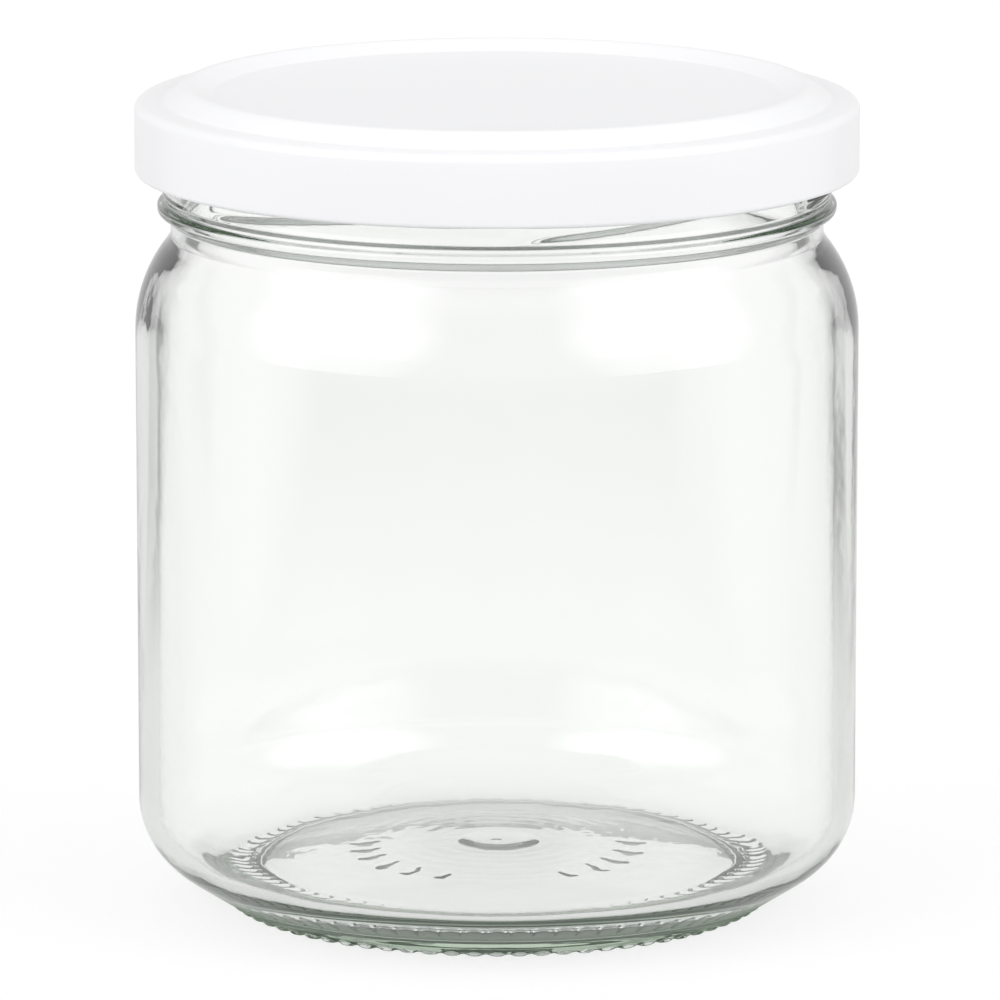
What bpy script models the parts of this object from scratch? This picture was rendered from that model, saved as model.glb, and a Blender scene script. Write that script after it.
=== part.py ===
"""Preserving jar: a wide-mouth glass jar, its pressed-metal lug lid and the sealing ring between them.

Metres, +Z up. The origin lies on the table, on the jar's axis. The lid is shown fully closed.
"""

import math

import bmesh
import bpy

# Counts
LUG_COUNT = 6
GLASS_SIDES = 60
LID_SIDES = 60
RING_SIDES = 60
RIDGE_STEPS = 11
NOSE_STEPS = 4
CURL_STEPS = 7

# Clearances
SEAT_GAP = 0.0003
LID_RUNNING_GAP = 0.00035

# Glass neck, measured from the neck wall and down from the rim
JAR_HEIGHT = 0.0946
NECK_RADIUS = 0.0395
NECK_WALL = 0.0024
RIM_ROUNDING = 0.0011
BEAD_DROP = 0.0110
BEAD_RISE = 0.00056
BEAD_SLOPE_HEIGHT = 0.0016
BEAD_ROUNDING = 0.0005
NECK_FILLET = 0.0008
GROOVE_DEPTH = 0.00097
GROOVE_HEIGHT = 0.0021
GROOVE_DROP = 0.0037
GROOVE_ROUNDING = 0.0006

# Thread ridges on the neck, one for each lug of the lid. Each starts down at the bead and passes over its lug.
# The phase is the place of the first lug, and a ridge's own angles are measured from the middle of its lug.
THREAD_DEPTH = 0.0015
THREAD_THICKNESS = 0.00125
THREAD_LEAD = 0.024
THREAD_PHASE = math.radians(27)
RIDGE_ROOT = 0.0006
RIDGE_START_ANGLE = math.radians(-56)
RIDGE_END_ANGLE = math.radians(22)
RIDGE_TAPER_ANGLE = math.radians(7)
RIDGE_TIP_SHARE = 0.3

# Glass body
SHOULDER_STEP = 0.00327
SHOULDER_RISE = 0.0056
SHOULDER_RADIUS = 0.0162
INNER_SHOULDER_DROP = 0.0012
INNER_SHOULDER_RADIUS = 0.0140
BORE_ROUNDING = 0.0030
BODY_WALL = 0.0025
HEEL_HEIGHT = 0.0071
HEEL_RADIUS = 0.0096
HEEL_INSET = 0.0106
BEARING_WIDTH = 0.0022
BEARING_ROUNDING = 0.0012
PUSH_UP_WALL = 0.0016
PUSH_UP_EDGE = 0.0020
PUSH_UP_CROWN = 0.0023
PUSH_UP_ROUNDING = 0.0012
FLOOR_THICKNESS = 0.0022
FLOOR_CROWN = 0.0034
DOME_CORNER_RADIUS = 0.0150
DOME_ROUNDING = 0.1200
INNER_HEEL_RISE = 0.0032
INNER_HEEL_RUN = 0.0090
INNER_HEEL_UPPER_RADIUS = 0.0064
INNER_HEEL_LOWER_RADIUS = 0.0081

# Lid sheet, measured along the middle of the sheet
SHEET = 0.00025
PANEL_RISE = 0.0005
PANEL_SLOPE_WIDTH = 0.0030
PANEL_ROUNDING = 0.0012
CREST_INSET = 0.0005
CREST_RISE = 0.0021
CREST_ROUNDING = 0.0016
CHANNEL_INSET = 0.0002
CHANNEL_ROUNDING = 0.0010
LID_SHOULDER_DROP = 0.0001
LID_SHOULDER_ROUNDING = 0.0009
SKIRT_DEPTH = 0.0078
CURL_RADIUS = 0.00055
CURL_ANGLE = math.radians(250)
LUG_REACH = 0.00135
LUG_FLAT_ANGLE = math.radians(4)
LUG_RAMP_ANGLE = math.radians(5)

# Sealing ring
RING_THICKNESS = 0.00065
RING_OVERHANG = 0.0014
RING_BEVEL = 0.0009

# Colours and finishes
GLASS_COLOUR = (0.80, 0.88, 0.83, 1)
LACQUER_COLOUR = (0.88, 0.88, 0.89, 1)
COMPOUND_COLOUR = (0.80, 0.80, 0.78, 1)


def clear_scene():
    for obj in list(bpy.data.objects):
        bpy.data.objects.remove(obj, do_unlink=True)


def material(name, colour, roughness, metallic, transmission=0.0):
    made = bpy.data.materials.new(name)
    made.use_nodes = True
    shader = made.node_tree.nodes["Principled BSDF"]
    shader.inputs["Base Color"].default_value = colour
    shader.inputs["Roughness"].default_value = roughness
    shader.inputs["Metallic"].default_value = metallic
    shader.inputs["Transmission Weight"].default_value = transmission
    made.diffuse_color = colour
    return made


def rounded(corners):
    """Outline through (r, z, fillet radius, fillet steps) corners, with each fillet limited by its two legs."""
    legs = list(zip(corners, corners[1:]))
    headings = [math.atan2(b[1] - a[1], b[0] - a[0]) for a, b in legs]
    lengths = [math.dist(a[:2], b[:2]) for a, b in legs]
    turns = [math.remainder(after - before, math.tau) for before, after in zip(headings, headings[1:])]
    turns = [0, *turns, 0]
    reaches = [corner[2] * math.tan(abs(turn) / 2) for corner, turn in zip(corners, turns)]
    crowding = [(a + b) / length for a, b, length in zip(reaches, reaches[1:], lengths)]
    points = [corners[0][:2]]
    for i in range(1, len(corners) - 1):
        r, z, radius, steps = corners[i]
        if reaches[i] == 0:
            points.append((r, z))
            continue
        share = 1 / max(1, crowding[i - 1], crowding[i])
        side = math.copysign(1, turns[i])
        heading = headings[i - 1]
        centre_r = r - share * (reaches[i] * math.cos(heading) + side * radius * math.sin(heading))
        centre_z = z - share * (reaches[i] * math.sin(heading) - side * radius * math.cos(heading))
        for step in range(steps + 1):
            angle = heading - side * math.pi / 2 + turns[i] * step / steps
            points.append((
                centre_r + share * radius * math.cos(angle),
                centre_z + share * radius * math.sin(angle),
            ))
    points.append(corners[-1][:2])
    return points


def offset(line, distance):
    """The open line moved sideways by distance, to the left of its direction."""
    headings = [math.atan2(b[1] - a[1], b[0] - a[0]) for a, b in zip(line, line[1:])]
    moved = []
    for i, (r, z) in enumerate(line):
        before = headings[max(i - 1, 0)]
        after = headings[min(i, len(headings) - 1)]
        half_turn = math.remainder(after - before, math.tau) / 2
        heading = before + half_turn
        reach = distance / math.cos(half_turn)
        moved.append((r - reach * math.sin(heading), z + reach * math.cos(heading)))
    return moved


def height_at(line, radius):
    """The height where the line first passes a radius on its way outwards."""
    for (r0, z0), (r1, z1) in zip(line, line[1:]):
        if r0 <= radius < r1:
            return z0 + (z1 - z0) * (radius - r0) / (r1 - r0)
    return line[-1][1]


def revolve(outline, sides, closed):
    """A bmesh turned about Z from an outline, which either closes on itself or has both ends on the axis."""
    bm = bmesh.new()
    verts = [bm.verts.new((r, 0, z)) for r, z in outline]
    pairs = list(zip(verts, verts[1:]))
    if closed:
        pairs.append((verts[-1], verts[0]))
    edges = [bm.edges.new(pair) for pair in pairs]
    bmesh.ops.spin(
        bm, geom=verts + edges, axis=(0, 0, 1), cent=(0, 0, 0),
        angle=math.tau, steps=sides, use_merge=True,
    )
    bmesh.ops.remove_doubles(bm, verts=bm.verts, dist=SEAT_GAP / 100)
    bmesh.ops.recalc_face_normals(bm, faces=bm.faces)
    return bm


def finished(name, bm, finish, sharp_angle):
    mesh = bpy.data.meshes.new(name)
    bm.to_mesh(mesh)
    bm.free()
    mesh.materials.append(finish)
    mesh.shade_smooth()
    mesh.set_sharp_from_angle(angle=sharp_angle)
    obj = bpy.data.objects.new(name, mesh)
    bpy.context.scene.collection.objects.link(obj)
    return obj


# Radii and heights that the pieces share
BORE_RADIUS = NECK_RADIUS - NECK_WALL
THREAD_RADIUS = NECK_RADIUS + THREAD_DEPTH
BODY_RADIUS = NECK_RADIUS + SHOULDER_STEP
LID_RADIUS = THREAD_RADIUS + LID_RUNNING_GAP + 2 * CURL_RADIUS + SHEET / 2
CHANNEL_Z = JAR_HEIGHT + SEAT_GAP + RING_THICKNESS + SEAT_GAP + SHEET / 2
CURL_Z = CHANNEL_Z - SKIRT_DEPTH
LUG_HALF_HEIGHT = CURL_RADIUS + SHEET / 2
RIDGE_Z = CURL_Z + LUG_HALF_HEIGHT + SEAT_GAP + THREAD_THICKNESS / 2


# Glass jar: one hollow body that stands on a flat bearing ring round a pushed-up base. Its neck has
# a bead and six short thread ridges.
def glass_outline():
    bead_z = JAR_HEIGHT - BEAD_DROP
    groove_radius = NECK_RADIUS - GROOVE_DEPTH
    groove_z = bead_z - GROOVE_DROP
    shoulder_z = groove_z - SHOULDER_RISE
    bearing_outer = BODY_RADIUS - HEEL_INSET
    bearing_inner = bearing_outer - BEARING_WIDTH
    push_up_radius = bearing_inner - PUSH_UP_WALL
    push_up_top = PUSH_UP_EDGE + PUSH_UP_CROWN
    floor_z = PUSH_UP_EDGE + FLOOR_THICKNESS
    floor_top = floor_z + FLOOR_CROWN
    inner_radius = BODY_RADIUS - BODY_WALL
    return rounded([
        (0, push_up_top, 0, 0),
        (DOME_CORNER_RADIUS, push_up_top, DOME_ROUNDING, 2),
        (push_up_radius, PUSH_UP_EDGE, PUSH_UP_ROUNDING, 2),
        (bearing_inner, 0, BEARING_ROUNDING, 2),
        (bearing_outer, 0, BEARING_ROUNDING, 2),
        (BODY_RADIUS, HEEL_HEIGHT, HEEL_RADIUS, 6),
        (BODY_RADIUS, shoulder_z, SHOULDER_RADIUS, 6),
        (groove_radius, groove_z, GROOVE_ROUNDING, 1),
        (groove_radius, groove_z + GROOVE_HEIGHT, GROOVE_ROUNDING, 1),
        (NECK_RADIUS + BEAD_RISE, bead_z, BEAD_ROUNDING, 3),
        (NECK_RADIUS, bead_z + BEAD_SLOPE_HEIGHT, NECK_FILLET, 1),
        (NECK_RADIUS, JAR_HEIGHT, RIM_ROUNDING, 3),
        (BORE_RADIUS, JAR_HEIGHT, RIM_ROUNDING, 3),
        (BORE_RADIUS, groove_z, BORE_ROUNDING, 2),
        (inner_radius, shoulder_z - INNER_SHOULDER_DROP, INNER_SHOULDER_RADIUS, 4),
        (inner_radius, floor_z + INNER_HEEL_RISE, INNER_HEEL_UPPER_RADIUS, 3),
        (inner_radius - INNER_HEEL_RUN, floor_z, INNER_HEEL_LOWER_RADIUS, 2),
        (DOME_CORNER_RADIUS, floor_top, DOME_ROUNDING, 2),
        (0, floor_top, 0, 0),
    ])


def ridge_section(angle):
    """The ridge's closed section at an angle from its lug's middle, full in its run and small at its two ends."""
    from_end = min(angle - RIDGE_START_ANGLE, RIDGE_END_ANGLE - angle)
    share = RIDGE_TIP_SHARE + (1 - RIDGE_TIP_SHARE) * min(1.0, from_end / RIDGE_TAPER_ANGLE)
    middle_z = RIDGE_Z + THREAD_LEAD * angle / math.tau
    half_thickness = THREAD_THICKNESS / 2 * share
    section = [(NECK_RADIUS - RIDGE_ROOT, middle_z - half_thickness)]
    for step in range(NOSE_STEPS + 1):
        sweep = math.pi * (step / NOSE_STEPS - 0.5)
        section.append((
            NECK_RADIUS + THREAD_DEPTH * share * math.cos(sweep),
            middle_z + half_thickness * math.sin(sweep),
        ))
    section.append((NECK_RADIUS - RIDGE_ROOT, middle_z + half_thickness))
    return section


def thread_ridges():
    """The raised ridges as separate swept bodies, each climbing by its share of the lead."""
    bm = bmesh.new()
    run = RIDGE_END_ANGLE - RIDGE_START_ANGLE
    for lug in range(LUG_COUNT):
        loops = []
        for step in range(RIDGE_STEPS + 1):
            angle = RIDGE_START_ANGLE + run * step / RIDGE_STEPS
            around = THREAD_PHASE + math.tau * lug / LUG_COUNT + angle
            loops.append([
                bm.verts.new((r * math.cos(around), r * math.sin(around), z))
                for r, z in ridge_section(angle)
            ])
        for low, high in zip(loops, loops[1:]):
            for i in range(len(low)):
                bm.faces.new((low[i - 1], low[i], high[i], high[i - 1]))
        bm.faces.new(loops[0])
        bm.faces.new(reversed(loops[-1]))
    bmesh.ops.recalc_face_normals(bm, faces=bm.faces)
    return bm


def make_glass_jar():
    glass = material("clear_glass", GLASS_COLOUR, 0.02, 0.0, transmission=1.0)
    jar = finished("glass_jar", revolve(glass_outline(), GLASS_SIDES, False), glass, math.radians(30))
    ridges = finished("thread_ridge_guide", thread_ridges(), glass, math.radians(30))
    ridges.hide_render = True
    ridges.display_type = "WIRE"
    union = jar.modifiers.new("thread_ridges", "BOOLEAN")
    union.operation = "UNION"
    union.solver = "EXACT"
    union.object = ridges


# Lid: one pressing of lacquered tinplate, with a recessed panel, a raised ring, a channel over the
# glass rim, a plain skirt and a rolled lower edge that is pressed in to make the lugs.
def lid_middle_line():
    crest_radius = BORE_RADIUS - CREST_INSET
    panel_z = CHANNEL_Z + PANEL_RISE
    shoulder_z = CHANNEL_Z - LID_SHOULDER_DROP
    line = rounded([
        (0, panel_z, 0, 0),
        (crest_radius - PANEL_SLOPE_WIDTH, panel_z, PANEL_ROUNDING, 1),
        (crest_radius, CHANNEL_Z + CREST_RISE, CREST_ROUNDING, 3),
        (NECK_RADIUS - CHANNEL_INSET, CHANNEL_Z, CHANNEL_ROUNDING, 1),
        (LID_RADIUS, shoulder_z, LID_SHOULDER_ROUNDING, 3),
        (LID_RADIUS, CURL_Z, 0, 0),
    ])
    for step in range(1, CURL_STEPS + 1):
        angle = -CURL_ANGLE * step / CURL_STEPS
        line.append((
            LID_RADIUS - CURL_RADIUS + CURL_RADIUS * math.cos(angle),
            CURL_Z + CURL_RADIUS * math.sin(angle),
        ))
    return line


def press_lugs(bm):
    """Pushes the rolled edge inwards at each lug, and tilts it there to the slope of the thread."""
    pitch_angle = math.tau / LUG_COUNT
    for vert in bm.verts:
        if vert.co.z > CURL_Z + LUG_HALF_HEIGHT + SHEET:
            continue
        radius = math.hypot(vert.co.x, vert.co.y)
        around = math.atan2(vert.co.y, vert.co.x)
        from_lug = math.remainder(around - THREAD_PHASE, pitch_angle)
        press = (LUG_FLAT_ANGLE + LUG_RAMP_ANGLE - abs(from_lug)) / LUG_RAMP_ANGLE
        press = min(1.0, max(0.0, press))
        across = (LID_RADIUS - SHEET / 2 - radius) / (2 * CURL_RADIUS)
        press *= min(1.0, max(0.0, across))
        moved = (radius - LUG_REACH * press) / radius
        vert.co.x *= moved
        vert.co.y *= moved
        vert.co.z += THREAD_LEAD * from_lug / math.tau * press


def make_lid():
    lacquer = material("white_lacquer", LACQUER_COLOUR, 0.25, 0.0)
    line = lid_middle_line()
    outline = offset(line, SHEET / 2) + offset(line, -SHEET / 2)[::-1]
    bm = revolve(outline, LID_SIDES, False)
    press_lugs(bm)
    finished("lid", bm, lacquer, math.radians(40))


# Sealing ring: compound flowed into the lid's channel, which beds on the glass rim.
def ring_outline():
    inner = BORE_RADIUS
    outer = NECK_RADIUS + RING_OVERHANG
    bottom = JAR_HEIGHT + SEAT_GAP
    under_lid = offset(lid_middle_line(), -SHEET / 2 - SEAT_GAP)
    inner_top = height_at(under_lid, inner)
    return [
        (inner, inner_top),
        *[(r, z) for r, z in under_lid if inner < r < outer and z > bottom],
        (outer, height_at(under_lid, outer)),
        (outer, bottom),
        (inner + RING_BEVEL, bottom),
        (inner, inner_top - RING_THICKNESS),
    ]


def make_sealing_ring():
    compound = material("sealing_compound", COMPOUND_COLOUR, 0.55, 0.0)
    bm = revolve(ring_outline(), RING_SIDES, True)
    finished("sealing_ring", bm, compound, math.radians(30))


clear_scene()
make_glass_jar()
make_lid()
make_sealing_ring()
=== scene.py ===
"""Preserving jar: a clear glass jar, its sealing ring and its white twist-off lid, on a pale studio table.

Metres, +Z up. The jar stands on z = 0 with its axis on Z, and is seen from the front, which is -Y.
"""

import math

import bmesh
import bpy
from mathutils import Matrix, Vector, noise


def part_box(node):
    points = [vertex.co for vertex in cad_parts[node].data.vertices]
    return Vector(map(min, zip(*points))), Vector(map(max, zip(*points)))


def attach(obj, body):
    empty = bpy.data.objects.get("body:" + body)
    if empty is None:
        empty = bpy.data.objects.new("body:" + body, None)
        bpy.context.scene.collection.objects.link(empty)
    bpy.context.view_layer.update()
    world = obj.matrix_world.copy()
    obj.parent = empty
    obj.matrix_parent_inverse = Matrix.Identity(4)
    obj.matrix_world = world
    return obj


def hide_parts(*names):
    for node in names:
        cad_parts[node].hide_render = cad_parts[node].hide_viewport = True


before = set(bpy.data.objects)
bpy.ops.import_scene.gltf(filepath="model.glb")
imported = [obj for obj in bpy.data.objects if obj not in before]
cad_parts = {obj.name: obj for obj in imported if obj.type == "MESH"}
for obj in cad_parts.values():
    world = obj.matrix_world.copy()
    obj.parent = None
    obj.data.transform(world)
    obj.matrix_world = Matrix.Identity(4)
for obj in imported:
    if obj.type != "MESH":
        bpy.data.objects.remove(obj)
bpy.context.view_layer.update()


# Glass jar. One hollow piece of clear glass with a faint green tint, pressed and blown in a split mould: a
# round rim, a neck with six short thread ridges over a bead, a soft shoulder, straight sides, and a heel
# that stands on a knurled ring round the pushed-up base. The inside is blown, so it is a little wavy.
_, jar_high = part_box("glass_jar")
body_radius = jar_high.x
rim_z = jar_high.z
rim_round = 0.0011
neck_step = 0.00327
neck_wall = 0.0024
neck_radius = body_radius - neck_step
bore_radius = neck_radius - neck_wall
bore_round = 0.0030
bead_drop = 0.01155
bead_z = rim_z - bead_drop
bead_depth = 0.00056
bead_radius = neck_radius + bead_depth
bead_round = 0.0004
bead_face = 0.00085
bead_slope = 0.00032
bead_undercut = 0.00092
hollow_depth = 0.00045
hollow_height = 0.00090
hollow_round = 0.0003
groove_depth = 0.00097
groove_radius = neck_radius - groove_depth
groove_drop = 0.0147
groove_z = rim_z - groove_drop
groove_low_round = 0.0006
groove_high_round = 0.0005
shoulder_drop = 0.0056
shoulder_z = groove_z - shoulder_drop
shoulder_round = 0.0162
body_wall = 0.0025
inner_radius = body_radius - body_wall
inner_shoulder_drop = 0.0012
inner_shoulder_z = shoulder_z - inner_shoulder_drop
inner_shoulder_round = 0.0140
heel_height = 0.0071
heel_round = 0.0096
bearing_inset = 0.0106
bearing_width = 0.0022
bearing_outer = body_radius - bearing_inset
bearing_inner = bearing_outer - bearing_width
bearing_round = 0.0012
push_up_run = 0.0016
push_up_radius = bearing_inner - push_up_run
push_up_round = 0.0012
push_up_z = 0.0020
push_up_crown = 0.0023
floor_thickness = 0.0022
floor_z = push_up_z + floor_thickness
floor_crown = 0.0028
dome_corner = 0.0150
dome_round = 0.1200
inner_heel_rise = 0.0032
inner_heel_run = 0.0090
inner_heel_upper = 0.0064
inner_heel_lower = 0.0081

knurl_count = 76
knurl_depth = 0.00032
knurl_width = 0.0023
knurl_past_inner = 0.0009
knurl_past_outer = 0.0007
knurl_inner = bearing_inner - knurl_past_inner
knurl_outer = bearing_outer + knurl_past_outer

ridge_count = 6
ridge_depth = 0.0015
ridge_half_width = 0.0010
ridge_fullness = 0.6
ridge_lead = 0.024
ridge_z = 0.0896
ridge_phase = math.radians(27)
ridge_start = math.radians(-56)
ridge_end = math.radians(22)
ridge_fade = math.radians(22)
ridge_taper = math.radians(8)

mark_radius = 0.0160
mark_length = 0.0024
mark_width = 0.0010
mark_depth = 0.0004
mark_end_fullness = 0.3
mark_fullness = 0.5
pad_radius = 0.0045
pad_flatness = 6
left_marks = [math.radians(angle) for angle in (-94, -82, -69, -54, -39, -23)]
right_marks = [math.radians(angle) for angle in (31, 48, 61, 77, 94)]
facing = -math.pi / 2

wave_depth = 0.00012
wave_across = 38
wave_along = 26
streak_depth = 0.00008
streak_across = 150
streak_along = 24
wavy_above_shoulder = 0.004
wavy_fade_height = 0.010
floor_calm = 0.8

turn_step = math.radians(1)
fine_margin = 0.001
knurl_gap = 0.00034
mark_gap = 0.00038
mark_margin = 0.0001
bead_gap = 0.00015
bead_gap_below = 0.0016
bead_gap_above = 0.0024
neck_gap = 0.0003
neck_margin = 0.0002
straight_gap = 0.0025
straight_margin = 0.014
round_gap = 0.0012


def soft_outline(corners, step_angle):
    """Points through (r, z, round radius) corners, each turned on its own radius where there is room."""
    legs = list(zip(corners, corners[1:]))
    headings = [math.atan2(b[1] - a[1], b[0] - a[0]) for a, b in legs]
    lengths = [math.dist(a[:2], b[:2]) for a, b in legs]
    turns = [math.remainder(after - before, math.tau) for before, after in zip(headings, headings[1:])]
    turns = [0, *turns, 0]
    reaches = [corner[2] * math.tan(abs(turn) / 2) for corner, turn in zip(corners, turns)]
    crowding = [(a + b) / length for a, b, length in zip(reaches, reaches[1:], lengths)]
    points = [corners[0][:2]]
    for i in range(1, len(corners) - 1):
        r, z, radius = corners[i]
        if reaches[i] == 0:
            points.append((r, z))
            continue
        share = 1 / max(1, crowding[i - 1], crowding[i])
        side = math.copysign(1, turns[i])
        heading = headings[i - 1]
        centre_r = r - share * (reaches[i] * math.cos(heading) + side * radius * math.sin(heading))
        centre_z = z - share * (reaches[i] * math.sin(heading) - side * radius * math.cos(heading))
        steps = max(2, math.ceil(abs(turns[i]) / step_angle))
        for step in range(steps + 1):
            angle = heading - side * math.pi / 2 + turns[i] * step / steps
            points.append((
                centre_r + share * radius * math.cos(angle),
                centre_z + share * radius * math.sin(angle),
            ))
    points.append(corners[-1][:2])
    return points


def spaced(points, gap_at):
    """The outline walked again, in steps that suit each place."""
    walked = [points[0]]
    left = gap_at(*points[0])
    for a, b in zip(points, points[1:]):
        length = math.dist(a, b)
        along = 0.0
        while length - along > left:
            along += left
            share = along / length
            walked.append((a[0] + (b[0] - a[0]) * share, a[1] + (b[1] - a[1]) * share))
            left = gap_at(*walked[-1])
        left -= length - along
    walked.append(points[-1])
    return walked


def outward(points, i):
    """The direction out of the material at a point of an outline that keeps the material on its left."""
    a, b = points[max(i - 1, 0)], points[min(i + 1, len(points) - 1)]
    length = math.dist(a, b)
    return (b[1] - a[1]) / length, -(b[0] - a[0]) / length


def join_rings(bm, near, far):
    """Faces between two rings of points, where one ring has as many points as the other or twice as many."""
    if len(near) == 1 or len(far) == 1:
        ring, pole = (near, far[0]) if len(far) == 1 else (far, near[0])
        for j in range(len(ring)):
            bm.faces.new((ring[j - 1], ring[j], pole))
    elif len(near) == len(far):
        for j in range(len(near)):
            bm.faces.new((near[j - 1], near[j], far[j], far[j - 1]))
    else:
        few, many = (near, far) if len(near) < len(far) else (far, near)
        for j in range(len(few)):
            bm.faces.new((few[j - 1], few[j], many[2 * j], many[2 * j - 1], many[2 * j - 2]))


def turned(name, points, sides_at, moved):
    """A closed piece turned about Z from an outline that ends on the axis, each point moved by a rule."""
    bm = bmesh.new()
    rings = []
    for i, (r, z) in enumerate(points):
        if i in (0, len(points) - 1):
            rings.append([bm.verts.new((0, 0, z))])
            continue
        sides = sides_at(r, z)
        ring = []
        for j in range(sides):
            around = math.tau * j / sides
            radius, height = moved(around, r, z, outward(points, i))
            ring.append(bm.verts.new((radius * math.cos(around), radius * math.sin(around), height)))
        rings.append(ring)
    for near, far in zip(rings, rings[1:]):
        join_rings(bm, near, far)
    return placed(name, bm)


def placed(name, bm):
    """The finished mesh as a smooth-shaded piece in the scene."""
    bmesh.ops.recalc_face_normals(bm, faces=bm.faces)
    mesh = bpy.data.meshes.new(name)
    bm.to_mesh(mesh)
    bm.free()
    mesh.shade_smooth()
    piece = bpy.data.objects.new(name, mesh)
    bpy.context.scene.collection.objects.link(piece)
    return piece


def bump(distance, half_width):
    """A round hump: 1 in the middle, 0 at half_width and beyond."""
    share = min(1.0, abs(distance) / half_width)
    return 0.5 + 0.5 * math.cos(math.pi * share)


def eased(share):
    share = min(1.0, max(0.0, share))
    return share * share * (3 - 2 * share)


def ridge_relief(around, z):
    highest = 0.0
    for ridge in range(ridge_count):
        along = math.remainder(around - ridge_phase - math.tau * ridge / ridge_count, math.tau)
        from_end = min((along - ridge_start) / ridge_fade, (ridge_end - along) / ridge_taper)
        if from_end <= 0:
            continue
        share = eased(from_end)
        middle = ridge_z + ridge_lead * along / math.tau
        highest = max(highest, ridge_depth * share * bump(z - middle, ridge_half_width) ** ridge_fullness)
    return highest


def knurl_relief(around, r):
    """Domed bumps all round the ring, each one longer outwards than it is wide."""
    across = math.remainder(around, math.tau / knurl_count) * r / (knurl_width / 2)
    along = (2 * r - knurl_inner - knurl_outer) / (knurl_outer - knurl_inner)
    return knurl_depth * max(0.0, 1 - across * across - along * along) ** 0.5


def mark_relief(around, r):
    if r < pad_radius:
        return mark_depth * (1 - (r / pad_radius) ** pad_flatness)
    highest = 0.0
    for angle in left_marks + right_marks:
        across = math.remainder(around - facing - angle, math.tau) * r
        lengthwise = bump(r - mark_radius, mark_length / 2) ** mark_end_fullness
        highest = max(highest, bump(across, mark_width / 2) * lengthwise)
    return mark_depth * highest ** mark_fullness


def glass_relief(around, r, z, out):
    """How far the glass stands out of its turned form: waves inside; ridges, marks and knurls outside."""
    below = z < heel_height and out[1] < 0
    if not below and (out[0] < 0 or r < bore_radius):
        fade = min(1.0, max(0.0, (inner_shoulder_z + wavy_above_shoulder - z) / wavy_fade_height))
        fade *= 1 - floor_calm * max(0.0, out[1])
        if fade == 0:
            return 0.0
        x, y = r * math.cos(around), r * math.sin(around)
        wave = noise.noise(Vector((x * wave_across, y * wave_across, z * wave_along)))
        streak = noise.noise(Vector((x * streak_across, y * streak_across, z * streak_along)))
        return fade * (wave_depth * wave + streak_depth * streak)
    if z > bead_z:
        return ridge_relief(around, z)
    if below and r < mark_radius + mark_length:
        return mark_relief(around, r)
    if below and knurl_inner < r < knurl_outer:
        return knurl_relief(around, r)
    return 0.0


def glass_moved(around, r, z, out):
    raised = glass_relief(around, r, z, out)
    return r + out[0] * raised, z + out[1] * raised


def near_knurls(r, z):
    return z < heel_height and knurl_inner - fine_margin < r < knurl_outer + fine_margin


def glass_gap(r, z):
    """The distance to the next point of the outline: small where the outside has fine forms."""
    if near_knurls(r, z):
        return knurl_gap
    if z < push_up_z + push_up_crown + mark_margin and r < mark_radius + mark_length:
        return mark_gap
    outside_neck = r > groove_radius - neck_margin
    if outside_neck and bead_z - bead_gap_below < z < bead_z + bead_gap_above:
        return bead_gap
    if outside_neck and z > groove_z:
        return neck_gap
    if heel_height * 2 < z < shoulder_z - straight_margin:
        return straight_gap
    return round_gap


def glass_sides(r, z):
    """Points round the axis, the same number to each knurl."""
    if near_knurls(r, z):
        return 8 * knurl_count
    return 4 * knurl_count if r > pad_radius else 2 * knurl_count if r > pad_radius / 3 else knurl_count


standing_z = knurl_depth
glass_corners = [
    (0, push_up_z + push_up_crown, 0),
    (dome_corner, push_up_z + push_up_crown, dome_round),
    (push_up_radius, push_up_z, push_up_round),
    (bearing_inner, standing_z, bearing_round),
    (bearing_outer, standing_z, bearing_round),
    (body_radius, heel_height, heel_round),
    (body_radius, shoulder_z, shoulder_round),
    (groove_radius, groove_z, groove_low_round),
    (groove_radius, bead_z - bead_undercut, groove_high_round),
    (bead_radius, bead_z, bead_round),
    (bead_radius, bead_z + bead_face, hollow_round),
    (neck_radius - hollow_depth, bead_z + bead_face + bead_slope, hollow_round),
    (neck_radius, bead_z + bead_face + bead_slope + hollow_height, hollow_round),
    (neck_radius, rim_z, rim_round),
    (bore_radius, rim_z, rim_round),
    (bore_radius, groove_z, bore_round),
    (inner_radius, inner_shoulder_z, inner_shoulder_round),
    (inner_radius, floor_z + inner_heel_rise, inner_heel_upper),
    (inner_radius - inner_heel_run, floor_z, inner_heel_lower),
    (dome_corner, floor_z + floor_crown, dome_round),
    (0, floor_z + floor_crown, 0),
]
glass_line = spaced(soft_outline(glass_corners, turn_step), glass_gap)
glass = turned("glass_jar_clear", glass_line, glass_sides, glass_moved)

glass_ior = 1.52
glass_tint = (0.24, 0.57, 0.20)
glass_tint_density = 8
glass_patches = 60
glass_dullness = 0.012
glass_ripples = 110
glass_ripple_height = 0.000012
glass_shadow = (0.84, 0.88, 0.85)
cloud_detail = 3.0
cloud_low = 0.3
cloud_high = 0.7


def node(tree, kind, **values):
    """A node with its inputs by name, with underscores for spaces."""
    made = tree.nodes.new(kind)
    for name, value in values.items():
        made.inputs[name.replace("_", " ")].default_value = value
    return made


def new_finish(name):
    finish = bpy.data.materials.new(name)
    finish.use_nodes = True
    finish.node_tree.nodes.clear()
    return finish, finish.node_tree


def mottled(tree, per_metre, low, high):
    """A value that drifts between low and high over the piece, with so many patches to the metre."""
    place = tree.nodes.new("ShaderNodeTexCoord").outputs["Object"]
    cloud = node(tree, "ShaderNodeTexNoise", Scale=per_metre, Detail=cloud_detail)
    tree.links.new(place, cloud.inputs["Vector"])
    spread = node(
        tree, "ShaderNodeMapRange", From_Min=cloud_low, From_Max=cloud_high, To_Min=low, To_Max=high,
    )
    tree.links.new(cloud.outputs["Fac"], spread.inputs["Value"])
    return spread.outputs["Result"]


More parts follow.
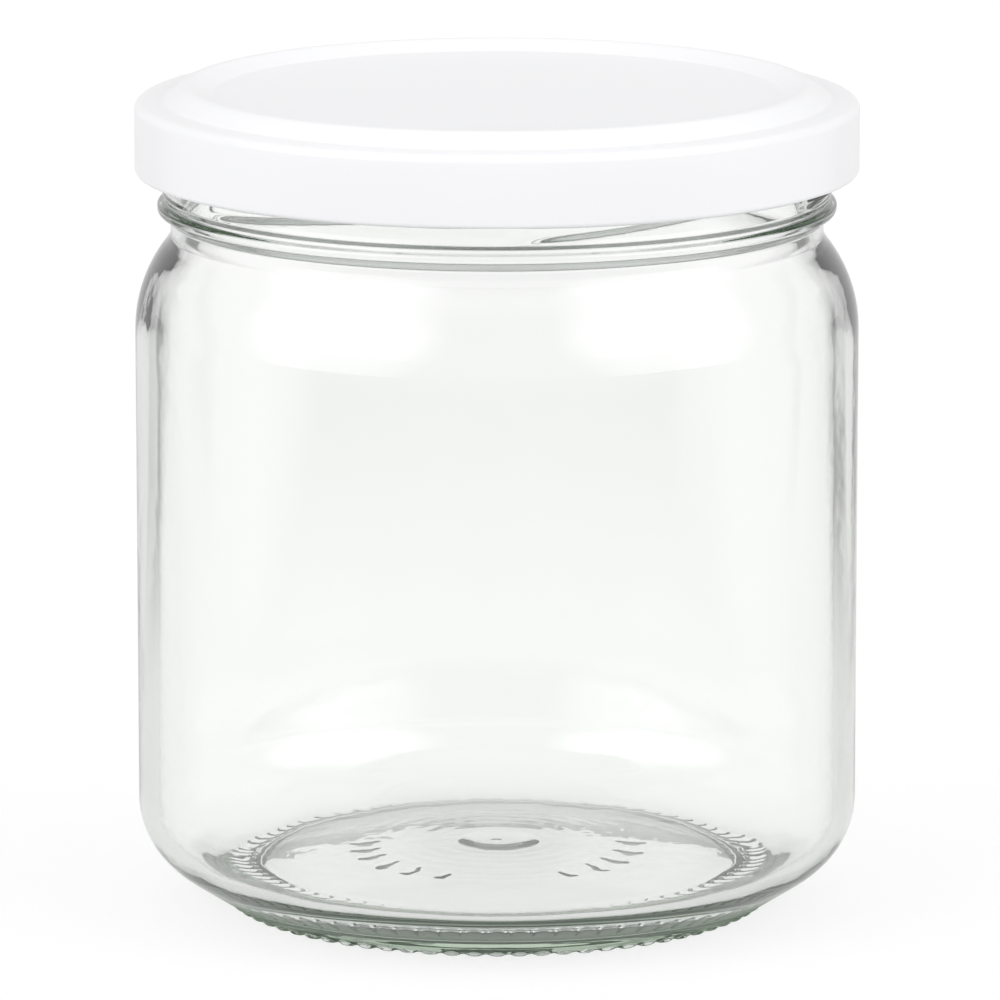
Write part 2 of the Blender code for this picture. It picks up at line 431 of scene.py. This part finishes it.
def rippled(tree, per_metre, height):
    """A surface direction that ripples by so little height, with so many ripples to the metre."""
    ripple = node(tree, "ShaderNodeBump", Strength=1.0, Distance=height)
    tree.links.new(mottled(tree, per_metre, 0, 1), ripple.inputs["Height"])
    return ripple.outputs["Normal"]


def clear_glass():
    """Clear glass with a faint tint that deepens with its thickness. Lamps shine through it softly."""
    finish, tree = new_finish("clear_glass_finish")
    out = node(tree, "ShaderNodeOutputMaterial")
    skin = node(tree, "ShaderNodeBsdfPrincipled", Base_Color=(1, 1, 1, 1))
    tree.links.new(mottled(tree, glass_patches, -glass_dullness, glass_dullness), skin.inputs["Roughness"])
    tree.links.new(rippled(tree, glass_ripples, glass_ripple_height), skin.inputs["Normal"])
    skin.inputs["IOR"].default_value = glass_ior
    skin.inputs["Transmission Weight"].default_value = 1.0
    for_lamps = node(tree, "ShaderNodeBsdfTransparent", Color=(*glass_shadow, 1))
    rays = node(tree, "ShaderNodeLightPath")
    choose = node(tree, "ShaderNodeMixShader")
    body = node(tree, "ShaderNodeVolumeAbsorption", Color=(*glass_tint, 1), Density=glass_tint_density)
    link = tree.links.new
    link(rays.outputs["Is Shadow Ray"], choose.inputs["Fac"])
    link(skin.outputs["BSDF"], choose.inputs[1])
    link(for_lamps.outputs["BSDF"], choose.inputs[2])
    link(choose.outputs["Shader"], out.inputs["Surface"])
    link(body.outputs["Volume"], out.inputs["Volume"])
    return finish


glass.data.materials.append(clear_glass())
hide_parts("glass_jar")
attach(glass, "jar")


# Sealing ring. A ring of pale, soft compound that is flowed into the lid's channel and baked there.
# It beds on the glass rim and takes its upper side from the lid, whose line is drawn here first.
sheet = 0.00025
seat_gap = 0.0003
ring_thickness = 0.00065
ring_overhang = 0.0014
ring_lip = 0.0009
ring_sides = 240
ring_inner = bore_radius
ring_outer = neck_radius + ring_overhang
ring_bottom = rim_z + seat_gap
channel_z = ring_bottom + ring_thickness + seat_gap + sheet / 2

_, lid_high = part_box("lid")
lid_radius = lid_high.x - sheet / 2
lid_edge_fall = 0.0001
lid_edge_round = 0.0009
panel_rise = 0.0005
panel_round = 0.0012
crest_inset = 0.0005
crest_radius = bore_radius - crest_inset
crest_run = 0.0030
crest_rise = 0.00209
crest_round = 0.0016
channel_inset = 0.0002
channel_round = 0.0010
skirt_height = 0.0078
curl_z = channel_z - skirt_height
curl_radius = 0.00055
curl_sweep = math.radians(250)
curl_steps = 16
lid_turn_step = math.radians(9)
lid_corners = [
    (0, channel_z + panel_rise, 0),
    (crest_radius - crest_run, channel_z + panel_rise, panel_round),
    (crest_radius, channel_z + crest_rise, crest_round),
    (neck_radius - channel_inset, channel_z, channel_round),
    (lid_radius, channel_z - lid_edge_fall, lid_edge_round),
    (lid_radius, curl_z, 0),
]
lid_line = soft_outline(lid_corners, lid_turn_step)
for step in range(1, curl_steps + 1):
    angle = -curl_sweep * step / curl_steps
    lid_line.append((
        lid_radius - curl_radius + curl_radius * math.cos(angle),
        curl_z + curl_radius * math.sin(angle),
    ))


def beside(line, distance):
    """The open line moved sideways by distance, to the left of its direction."""
    headings = [math.atan2(b[1] - a[1], b[0] - a[0]) for a, b in zip(line, line[1:])]
    moved = []
    for i, (r, z) in enumerate(line):
        before = headings[max(i - 1, 0)]
        after = headings[min(i, len(headings) - 1)]
        half_turn = math.remainder(after - before, math.tau) / 2
        heading = before + half_turn
        reach = distance / math.cos(half_turn)
        moved.append((r - reach * math.sin(heading), z + reach * math.cos(heading)))
    return moved


def height_at(line, radius):
    """The height of a line where it passes a radius."""
    for (r0, z0), (r1, z1) in zip(line, line[1:]):
        if r0 <= radius < r1:
            return z0 + (z1 - z0) * (radius - r0) / (r1 - r0)
    return line[-1][1]


def blended(tree, share, first, second):
    """The first colour where share is 0, the second where it is 1."""
    blend = tree.nodes.new("ShaderNodeMix")
    blend.data_type = "RGBA"
    color_a, color_b, result = blend.inputs[6], blend.inputs[7], blend.outputs[2]
    color_a.default_value = (*first, 1)
    color_b.default_value = (*second, 1)
    tree.links.new(share, blend.inputs["Factor"])
    return result


def baked_coat(name, pale, deep, patches, gloss, pits, pit_depth):
    """A coat baked on from a liquid: two close colours in patches, uneven gloss and fine shallow pits."""
    finish, tree = new_finish(name)
    out = node(tree, "ShaderNodeOutputMaterial")
    skin = node(tree, "ShaderNodeBsdfPrincipled")
    link = tree.links.new
    link(blended(tree, mottled(tree, patches, 0, 1), pale, deep), skin.inputs["Base Color"])
    link(mottled(tree, patches, *gloss), skin.inputs["Roughness"])
    link(rippled(tree, pits, pit_depth), skin.inputs["Normal"])
    link(skin.outputs["BSDF"], out.inputs["Surface"])
    return finish


under_lid = beside(lid_line, -sheet / 2 - seat_gap)
inner_top = height_at(under_lid, ring_inner)
ring_line = [
    (ring_inner, inner_top),
    *[(r, z) for r, z in under_lid if ring_inner < r < ring_outer and z > ring_bottom],
    (ring_outer, height_at(under_lid, ring_outer)),
    (ring_outer, ring_bottom),
    (ring_inner + ring_lip, ring_bottom),
    (ring_inner, inner_top - ring_thickness),
]
bm = bmesh.new()
rings = [
    [
        bm.verts.new((r * math.cos(math.tau * j / ring_sides), r * math.sin(math.tau * j / ring_sides), z))
        for j in range(ring_sides)
    ]
    for r, z in ring_line
]
for near, far in zip(rings, rings[1:] + rings[:1]):
    join_rings(bm, near, far)
ring = placed("sealing_ring_soft", bm)
ring_sharp_edge = math.radians(30)
ring.data.set_sharp_from_angle(angle=ring_sharp_edge)
ring.data.materials.append(baked_coat(
    "compound_finish", pale=(0.81, 0.81, 0.79), deep=(0.78, 0.78, 0.76), patches=90,
    gloss=(0.42, 0.58), pits=700, pit_depth=0.00003,
))
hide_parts("sealing_ring")
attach(ring, "seal")


# Lid. One pressing of thin tinplate in white stoved lacquer: a sunk panel, a raised ring, a channel over the
# rim, a bare skirt, and a rolled lower edge that is pinched inwards at six places to make the lugs.
lug_reach = 0.00135
lug_flat = math.radians(4)
lug_ramp = math.radians(5)
lug_phase = ridge_phase
lug_top = curl_z + curl_radius + sheet / 2 + sheet
lid_sides = 360
lid_sharp_edge = math.radians(50)


def lid_moved(around, r, z, out):
    """Points of the rolled edge pressed inwards and along the thread's slope where a lug is."""
    if z > lug_top or r < neck_radius:
        return r, z
    from_lug = math.remainder(around - lug_phase, math.tau / ridge_count)
    press = eased((lug_flat + lug_ramp - abs(from_lug)) / lug_ramp)
    press *= min(1.0, max(0.0, (lid_radius - sheet / 2 - r) / (2 * curl_radius)))
    return r - lug_reach * press, z + ridge_lead * from_lug / math.tau * press


lid_outline = beside(lid_line, -sheet / 2) + beside(lid_line, sheet / 2)[::-1]
lid = turned("lid_pressing", lid_outline, lambda r, z: lid_sides, lid_moved)
lid.data.set_sharp_from_angle(angle=lid_sharp_edge)
lid.data.materials.append(baked_coat(
    "white_lacquer_finish", pale=(0.882, 0.882, 0.896), deep=(0.878, 0.878, 0.892), patches=35,
    gloss=(0.28, 0.32), pits=900, pit_depth=0.000004,
))
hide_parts("lid")
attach(lid, "closure")


# Studio. A white table that runs out into a white surround, two big soft lamps and a fill at the front, and
# the camera a metre away, looking down a little. Mirrored rays see a room that is darker than the table,
# with a dark card at each side of the backdrop. The table is painted with light near the jar and with a
# green-tinted shadow of the jar under it, both seen only by mirrored and scattered rays.
room_dark = 0.3
room_bright = 0.83
room_edges = (0.15, 0.65)
table_size = 6.0
table_colour = 0.30
table_glow = 0.72
table_mirrored = 0.12
side_glow = 0.70
# Painted light: the table glows brighter near the jar for mirrored and scattered rays, and so lights the lid
# from below.
painted_light_near_jar_level = 0.70
near_edges = (0.12, 0.38)
# Painted shadow: under the jar the table's glow is dimmed and tinted green, as light through the glass base
# would be, for mirrored and scattered rays.
painted_shadow_level = 0.16
painted_shadow_green = (0.60, 0.85, 0.55)
painted_shadow_edges = (0.031, 0.036)
card_level = 0.35
card_far_edge = (0.74, 0.79)
card_near_edge = (0.60, 0.70)
deep_level = 0.12
deep_turns = (2.2, 6.0)
backdrop_top = (0.28, 0.50)
ceiling = 0.10
lamp_level = 1.85
lamp_rise = math.radians(22)
lamp_angles = [math.radians(-55), math.radians(58)]
lamp_cores = math.cos(math.radians(12))
lamp_rims = math.cos(math.radians(38))
white = (1, 1, 1)
first_mirror = 0.5


def worked(tree, operation, *values):
    """The result of a Math node, from numbers and other nodes' results."""
    made = tree.nodes.new("ShaderNodeMath")
    made.operation = operation
    for socket, value in zip(made.inputs, values):
        if isinstance(value, bpy.types.NodeSocket):
            tree.links.new(value, socket)
        else:
            socket.default_value = value
    return made.outputs[0]


def ramp(tree, value, start, end, low, high):
    """A soft step from low to high as the value goes from start to end."""
    made = tree.nodes.new("ShaderNodeMapRange")
    made.interpolation_type = "SMOOTHSTEP"
    for name, number in (("From Min", start), ("From Max", end), ("To Min", low), ("To Max", high)):
        made.inputs[name].default_value = number
    tree.links.new(value, made.inputs["Value"])
    return made.outputs["Result"]


def straight_view(tree):
    """1 for rays that reach the eye straight or through glass alone, 0 for mirrored and scattered ones."""
    rays = node(tree, "ShaderNodeLightPath")
    either = worked(tree, "MAXIMUM", rays.outputs["Is Camera Ray"], rays.outputs["Is Transmission Ray"])
    unmirrored = worked(tree, "LESS_THAN", rays.outputs["Glossy Depth"], first_mirror)
    return worked(tree, "MULTIPLY", either, unmirrored)


def dimmed(tree, level):
    """The level as it is for the light on the lid, and less for a ray that is mirrored many times."""
    rays = node(tree, "ShaderNodeLightPath")
    deep = ramp(tree, rays.outputs["Glossy Depth"], *deep_turns, 1, deep_level)
    return worked(tree, "MULTIPLY", level, worked(tree, "MAXIMUM", deep, rays.outputs["Is Diffuse Ray"]))


def beside_cards(tree, backness):
    """Less than 1 where a dark card stands at each side of the backdrop."""
    before = ramp(tree, backness, *card_near_edge, 1, card_level)
    behind = ramp(tree, backness, *card_far_edge, card_level, 1)
    return worked(tree, "MAXIMUM", before, behind)


bm = bmesh.new()
bmesh.ops.create_grid(bm, x_segments=1, y_segments=1, size=table_size / 2)
table = placed("table", bm)
finish, tree = new_finish("white_table")
out = node(tree, "ShaderNodeOutputMaterial")
cloth = node(tree, "ShaderNodeBsdfDiffuse")
glow = node(tree, "ShaderNodeEmission")
both = node(tree, "ShaderNodeAddShader")
place = tree.nodes.new("ShaderNodeTexCoord").outputs["Object"]
heading = tree.nodes.new("ShaderNodeVectorMath")
heading.operation = "NORMALIZE"
tree.links.new(place, heading.inputs[0])
apart = tree.nodes.new("ShaderNodeSeparateXYZ")
tree.links.new(heading.outputs["Vector"], apart.inputs["Vector"])
from_jar = tree.nodes.new("ShaderNodeVectorMath")
from_jar.operation = "LENGTH"
tree.links.new(place, from_jar.inputs[0])

frontness = worked(tree, "MULTIPLY", apart.outputs["Y"], -1)
around_glow = ramp(tree, frontness, *room_edges, side_glow, 0)
around_glow = worked(tree, "MULTIPLY", around_glow, beside_cards(tree, apart.outputs["Y"]))
# Painted light on the table near the jar, and a painted green-tinted shadow under the jar, both seen by
# mirrored and scattered rays only.
painted_light_near_jar = ramp(tree, from_jar.outputs["Value"], *near_edges, painted_light_near_jar_level, 0)
lit = ramp(tree, from_jar.outputs["Value"], *painted_shadow_edges, painted_shadow_level, 1)
mirrored_glow = dimmed(tree, worked(tree, "MULTIPLY", worked(tree, "MAXIMUM", around_glow, painted_light_near_jar), lit))
straight = straight_view(tree)
shade = worked(tree, "MULTIPLY_ADD", straight, table_colour - table_mirrored, table_mirrored)
brightness = worked(tree, "MAXIMUM", worked(tree, "MULTIPLY", straight, table_glow), mirrored_glow)
unshaded = worked(tree, "MAXIMUM", straight, lit)
tree.links.new(shade, cloth.inputs["Color"])
# The painted shadow under the jar takes the green tint here; rays that come straight or through glass alone
# see the table white.
tree.links.new(blended(tree, unshaded, painted_shadow_green, white), glow.inputs["Color"])
tree.links.new(brightness, glow.inputs["Strength"])
tree.links.new(cloth.outputs["BSDF"], both.inputs[0])
tree.links.new(glow.outputs["Emission"], both.inputs[1])
tree.links.new(both.outputs["Shader"], out.inputs["Surface"])
table.data.materials.append(finish)

world = bpy.data.worlds.new("studio")
bpy.context.scene.world = world
world.use_nodes = True
tree = world.node_tree
surround = tree.nodes["Background"]
surround.inputs["Color"].default_value = (*white, 1)
outlook = tree.nodes.new("ShaderNodeTexCoord").outputs["Generated"]


def towards(tree, direction):
    """How far the ray looks in a direction: 1 straight along it, -1 straight away from it."""
    made = tree.nodes.new("ShaderNodeVectorMath")
    made.operation = "DOT_PRODUCT"
    tree.links.new(outlook, made.inputs[0])
    made.inputs[1].default_value = direction
    return made.outputs["Value"]


level = ramp(tree, towards(tree, (0, -1, 0)), *room_edges, room_bright, room_dark)
level = dimmed(tree, level)
for angle in lamp_angles:
    flat = math.cos(lamp_rise)
    lamp = towards(tree, (flat * math.sin(angle), -flat * math.cos(angle), math.sin(lamp_rise)))
    level = worked(tree, "ADD", level, ramp(tree, lamp, lamp_rims, lamp_cores, 0, lamp_level))
backdrop = ramp(tree, towards(tree, (0, 0, 1)), *backdrop_top, 1, ceiling)
straight = straight_view(tree)
level = worked(tree, "MULTIPLY_ADD", worked(tree, "SUBTRACT", backdrop, level), straight, level)
tree.links.new(level, surround.inputs["Strength"])

fill_power = 6.6
fill_size = 1.0
fill_away = 1.2
fill_up = 0.12
fill_data = bpy.data.lights.new("front_fill", "AREA")
fill_data.energy = fill_power
fill_data.size = fill_size
fill = bpy.data.objects.new("front_fill", fill_data)
fill.location = (0, -fill_away, fill_up)
fill.rotation_euler = (math.pi / 2, 0, 0)
fill.visible_camera = False
fill.visible_glossy = False
fill.visible_transmission = False
bpy.context.scene.collection.objects.link(fill)

camera_away = 1.0098
camera_up = 0.25139
camera_tilt = 0.19896
camera_shift = 0.003
focal_pixels = 8671.8
picture_pixels = 1000
sensor_width = 36
view_end = 20
camera_data = bpy.data.cameras.new("camera")
camera_data.lens = focal_pixels * sensor_width / picture_pixels
camera_data.shift_x = camera_shift
camera_data.clip_end = view_end
camera = bpy.data.objects.new("camera", camera_data)
camera.location = (0, -camera_away, camera_up)
camera.rotation_euler = (math.pi / 2 - camera_tilt, 0, 0)
bpy.context.scene.collection.objects.link(camera)
bpy.context.scene.camera = camera
bpy.context.scene.view_settings.view_transform = "Standard"

# Light is mirrored many times inside the thick glass of the base before it comes out.
glass_turns = 28
light_paths = bpy.context.scene.cycles
light_paths.max_bounces = glass_turns
light_paths.glossy_bounces = glass_turns
light_paths.transmission_bounces = glass_turns
